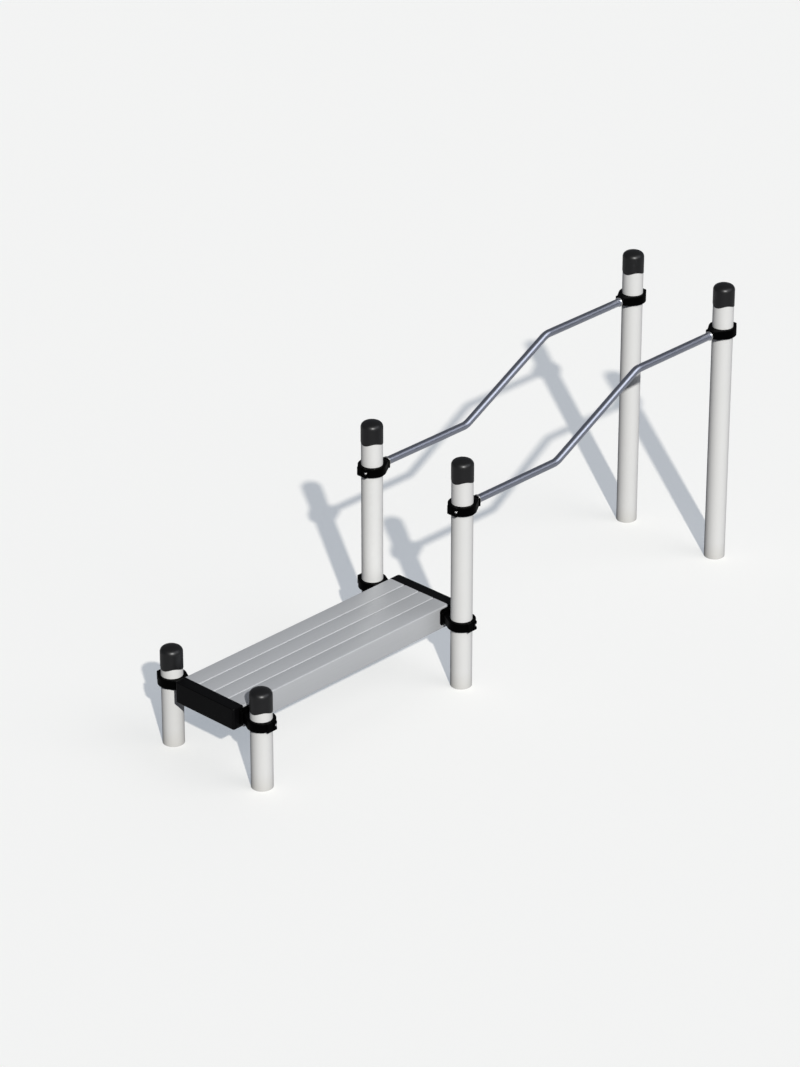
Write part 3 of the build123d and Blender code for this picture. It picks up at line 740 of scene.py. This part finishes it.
plank_names = ("plank_outer_right", "plank_inner_right", "plank_inner_left", "plank_outer_left")
for plank_name in plank_names:
    low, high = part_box(plank_name)
    right, left, top, foot = low.y, high.y, high.z, high.z - PLANK_HEIGHT
    if "outer" in plank_name:
        flank, joint, inward = (right, left, 1) if plank_name.endswith("right") else (left, right, -1)
        skin, lip = flank + inward * SKIRT_THICKNESS, flank + inward * SKIRT_LIP
        outline = [
            (flank, top, PLANK_ROUND), (flank, low.z, PLANK_FOOT), (lip, low.z, PLANK_FOOT),
            (lip, low.z + SKIRT_THICKNESS, PLANK_FOOT), (skin, low.z + SKIRT_THICKNESS, 0),
            (skin, foot, 0), (joint, foot, PLANK_FOOT), (joint, top, PLANK_ROUND),
        ]
    else:
        outline = [
            (right, top, PLANK_ROUND), (right, foot, PLANK_FOOT),
            (left, foot, PLANK_FOOT), (left, top, PLANK_ROUND),
        ]
    middle, floor_z, roof_z = (right + left) / 2, foot + PLANK_WALL, top - PLANK_WALL
    cells = []
    for side in (-1, 1):
        near, far = middle + side * PLANK_WALL / 2, middle + side * ((left - right) / 2 - PLANK_WALL)
        cells.append([(near, floor_z), (far, floor_z), (far, roof_z), (near, roof_z)])
    board = extruded(f"bench_{plank_name}", [rounded(outline)] + cells, low.x, high.x)
    finish_piece(place(f"bench_{plank_name}", soften(board)), anodised_plank, "plank_grey", plank_name)

# End housings
# Two moulded black shells that close the bench's ends: rounded corners, ribs inside and three bosses
# for screws from below. A filled polypropylene with a fine spark-eroded texture.
HOUSING_COLOURS = ("#050506", "#09090A")
HOUSING_CLOUD = 120 * MM
HOUSING_ROUGHNESS = (0.36, 0.46)
HOUSING_SPECULAR = 0.1
HOUSING_GRAIN = 2.0 * MM
HOUSING_GRAIN_HEIGHT = 0.02 * MM
HOUSING_GRAIN_STRENGTH = 0.5

# Moulded polypropylene: black, with a weaker shine than the caps and the mould's fine grain. The
# grain is drawn 2 mm wide, coarser than the real 0.3 mm, so that it shows.
housing_plastic, tree, shader, spot = new_finish("moulded_black_polypropylene")
grain = noise(tree, spot, HOUSING_GRAIN, detail=2.0)
feed(tree, shader, {
    "Base Color": blend(tree, noise(tree, spot, HOUSING_CLOUD, detail=3.0), *HOUSING_COLOURS),
    "Roughness": between(tree, grain, HOUSING_ROUGHNESS),
    "Specular IOR Level": HOUSING_SPECULAR,
    "Normal": raised(tree, grain, HOUSING_GRAIN_HEIGHT, HOUSING_GRAIN_STRENGTH),
})
for level in ("low", "mid"):
    dressed(f"bench_end_housing_{level}", f"end_housing_{level}", housing_plastic, "housing_black")

# Frames under the bench
# Three folded steel channels across the bench: one under the planks' middle, and one between the
# clamps at each end with a plate behind each flange. Welded, then hot-dip galvanised.
ZINC_COLOURS = ("#8E9296", "#A4A8AB")
ZINC_ROUGHNESS = (0.38, 0.58)
ZINC_METALLIC = 0.8
SPANGLE = 14.0 * MM

# Hot-dip zinc: a dull blue-grey metal with crystal flakes about a centimetre across.
galvanised, tree, shader, spot = new_finish("hot_dip_galvanised_steel")
flake = add(tree, "ShaderNodeTexVoronoi", {"Vector": spot, "Scale": 1 / SPANGLE})
shade = add(tree, "ShaderNodeSeparateColor", {"Color": flake.outputs["Color"]}).outputs
feed(tree, shader, {
    "Base Color": blend(tree, shade[0], *ZINC_COLOURS),
    "Roughness": between(tree, shade[1], ZINC_ROUGHNESS),
    "Metallic": ZINC_METALLIC,
})
dressed("bench_cross_channel", "cross_frame", galvanised, "galvanised")
for level in ("low", "mid"):
    dressed(f"bench_end_channel_{level}", f"end_frame_{level}", galvanised, "galvanised")

# Bench bolts and screws
# Stainless socket screws: four M10 bolts behind each bench flange, and M6 screws up through the
# frames into the planks and into the housings' bosses, all with their heads inside or below.
BENCH_BOLT = {"Diameter": 10 * MM, "Length": 16 * MM, "Head": 16 * MM, "Head Height": 6 * MM,
              "Hexagon": 7 * MM, "Hexagon Depth": 3.5 * MM, "Bevel": 0.8 * MM}
BOLT_SPREAD = 26.0 * MM
BOLT_RISES = (8.0 * MM, -24.0 * MM)
BOLT_SEAT = 10.0 * MM
PLANK_SCREW = {"Diameter": 6 * MM, "Length": 13 * MM, "Head": 12 * MM, "Head Height": 4 * MM,
               "Hexagon": 4 * MM, "Hexagon Depth": 2.5 * MM, "Bevel": 0.6 * MM}
HOUSING_SCREW = PLANK_SCREW | {"Length": 18 * MM}
FRAME_THICKNESS = 4.0 * MM
PLANK_SCREW_INSET = 22.0 * MM
BOSS_OFFSET = 28.0 * MM
BOSS_INSET = 67.0 * MM
DOWN = Vector((0, 0, -1))

bench_low, bench_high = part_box("plank_outer_right")[0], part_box("plank_outer_left")[1]
bolt_y = bench_high.y - BOLT_SEAT
places = []
for corner in bench_corners:
    turned = clamp_frames[f"bench_clamp_{corner}"]
    inwards = turned.to_3x3() @ Vector((1, 0, 0))
    for along in (-BOLT_SPREAD, BOLT_SPREAD):
        for rise in BOLT_RISES:
            hole = turned.translation + Vector((along, 0, rise))
            places.append((Vector((hole.x, -inwards.y * bolt_y, hole.z)), inwards))
stand_screws("bench_flange_bolts", "bench_bolts", places, BENCH_BOLT)

low_x, mid_x = post_axes["low_left"].x, post_axes["mid_left"].x
below_web = bench_high.z - PLANK_HEIGHT - FRAME_THICKNESS
plank_middles = [bench_low.y + PLANK_PITCH * (i + 0.5) for i in range(len(plank_names))]
screw_lines = [middle + (1 if middle < 0 else -1) * PLANK_WIDTH / 4 for middle in plank_middles]
places = [
    (Vector((x, y, below_web)), DOWN)
    for x in (low_x + PLANK_SCREW_INSET, (low_x + mid_x) / 2, mid_x - PLANK_SCREW_INSET)
    for y in screw_lines
]
stand_screws("plank_fixing_screws", "plank_screws", places, PLANK_SCREW)
places = [
    (Vector((x, y, below_web)), DOWN)
    for x in (low_x - BOSS_OFFSET, mid_x + BOSS_OFFSET)
    for y in (bench_low.y + BOSS_INSET, 0, bench_high.y - BOSS_INSET)
]
stand_screws("housing_fixing_screws", "housing_screws", places, HOUSING_SCREW)
